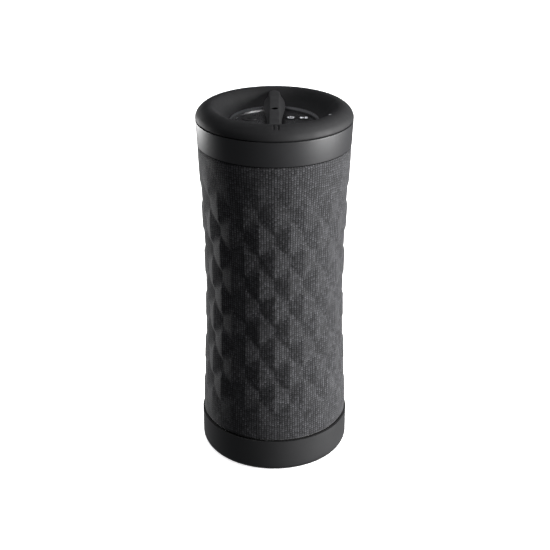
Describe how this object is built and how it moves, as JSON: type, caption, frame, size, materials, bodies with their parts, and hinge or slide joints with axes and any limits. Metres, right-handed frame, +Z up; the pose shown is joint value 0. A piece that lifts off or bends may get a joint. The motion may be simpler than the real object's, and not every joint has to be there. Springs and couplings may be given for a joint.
{
  "type": "portable bluetooth speaker",
  "caption": "Upright hourglass cylinder speaker with a faceted fabric sleeve, plain base cup and band, and a rubber dished cap with a control disc and a bridging carry strap.",
  "frame": {"origin": "centre of the underside, on the plane the foot pad stands on", "axes": "+Z up along the body, -Y is the front, +Y is the rear with the port cover, the carry strap runs along Y"},
  "size_m": [0.0882, 0.0882, 0.2125],
  "materials": {
    "shell_plastic": "fine matte texture",
    "band_plastic": "satin",
    "cap_rubber": "soft-touch matte",
    "foot_rubber": "matte",
    "seam_rubber": "matte",
    "acoustic_fabric": "coarse knitted acoustic mesh",
    "bezel_plastic": "satin metallic",
    "panel_plastic": "semi-gloss",
    "button_plastic": "semi-gloss",
    "inner_plastic": "moulded",
    "steel": "zinc plated",
    "socket_steel": "plated",
    "magnet_iron": "plated",
    "driver_steel": "black",
    "cone_paper": "matte",
    "coil_copper": "copper winding",
    "board": "solder mask",
    "chip_plastic": "epoxy",
    "capacitor_can": "sleeved",
    "battery_wrap": "shrink sleeve",
    "lens": "frosted lens",
    "wire_sleeve": "sleeved wire"
  },
  "bodies": {
    "body": {"base_cup": "shell_plastic", "foot_pad": "foot_rubber", "base_screws": "steel", "usb_socket": "socket_steel", "aux_jack": "chip_plastic", "io_pcb": "board", "lower_seam_gasket": "seam_rubber", "upper_seam_gasket": "seam_rubber", "cap_seam_gasket": "seam_rubber", "fabric_sleeve": "acoustic_fabric", "grille_core": "inner_plastic", "lower_end_plate": "inner_plastic", "upper_end_plate": "inner_plastic", "chassis_screws": "steel", "chassis_front": "inner_plastic", "chassis_rear": "inner_plastic", "front_driver_frame": "driver_steel", "front_driver_magnet": "magnet_iron", "front_driver_surround": "foot_rubber", "rear_driver_frame": "driver_steel", "rear_driver_magnet": "magnet_iron", "rear_driver_surround": "foot_rubber", "left_radiator_frame": "driver_steel", "left_radiator_surround": "foot_rubber", "right_radiator_frame": "driver_steel", "right_radiator_surround": "foot_rubber", "flange_screws": "steel", "battery_cells": "battery_wrap", "battery_holder": "inner_plastic", "main_pcb": "board", "main_pcb_screws": "steel", "pcb_capacitors": "capacitor_can", "pcb_chips": "chip_plastic", "battery_leads": "wire_sleeve", "ribbon_cable": "inner_plastic", "upper_band": "band_plastic", "top_cap": "cap_rubber", "status_led": "lens", "cap_screws": "steel", "carry_handle": "cap_rubber", "control_bezel": "bezel_plastic", "control_panel": "panel_plastic", "tact_switches": "chip_plastic", "control_pcb": "board", "control_pcb_screws": "steel"},
    "power_button": {"power_button": "button_plastic"},
    "play_button": {"play_button": "button_plastic"},
    "volume_up_button": {"volume_up_button": "button_plastic"},
    "volume_down_button": {"volume_down_button": "button_plastic"},
    "front_cone": {"front_driver_cone": "cone_paper", "front_voice_coil": "coil_copper"},
    "rear_cone": {"rear_driver_cone": "cone_paper", "rear_voice_coil": "coil_copper"},
    "left_radiator": {"left_radiator_plate": "cone_paper"},
    "right_radiator": {"right_radiator_plate": "cone_paper"},
    "port_cover": {"port_cover": "cap_rubber"}
  },
  "joints": [
    {"name": "power_button_press", "type": "slide", "parent": "body", "child": "power_button", "axis": [0, 0, -1], "range_m": [0, 0.0005], "stiffness_N_per_m": 3000},
    {"name": "play_button_press", "type": "slide", "parent": "body", "child": "play_button", "axis": [0, 0, -1], "range_m": [0, 0.0005], "stiffness_N_per_m": 3000},
    {"name": "volume_up_button_press", "type": "slide", "parent": "body", "child": "volume_up_button", "axis": [0, 0, -1], "range_m": [0, 0.0005], "stiffness_N_per_m": 3000},
    {"name": "volume_down_button_press", "type": "slide", "parent": "body", "child": "volume_down_button", "axis": [0, 0, -1], "range_m": [0, 0.0005], "stiffness_N_per_m": 3000},
    {"name": "front_cone_travel", "type": "slide", "parent": "body", "child": "front_cone", "axis": [0, -1, 0], "range_m": [-0.0012, 0.0012], "stiffness_N_per_m": 900},
    {"name": "rear_cone_travel", "type": "slide", "parent": "body", "child": "rear_cone", "axis": [0, 1, 0], "range_m": [-0.0012, 0.0012], "stiffness_N_per_m": 900},
    {"name": "left_radiator_travel", "type": "slide", "parent": "body", "child": "left_radiator", "axis": [-1, 0, 0], "range_m": [-0.0015, 0.0015], "stiffness_N_per_m": 700},
    {"name": "right_radiator_travel", "type": "slide", "parent": "body", "child": "right_radiator", "axis": [1, 0, 0], "range_m": [-0.0015, 0.0015], "stiffness_N_per_m": 700},
    {"name": "port_cover_hinge", "type": "hinge", "parent": "body", "child": "port_cover", "pos_m": [0, 0.0441, 0.0075], "axis": [-1, 0, 0], "range_deg": [0, 90], "stiffness_Nm_per_rad": 0.0006}
  ]
}
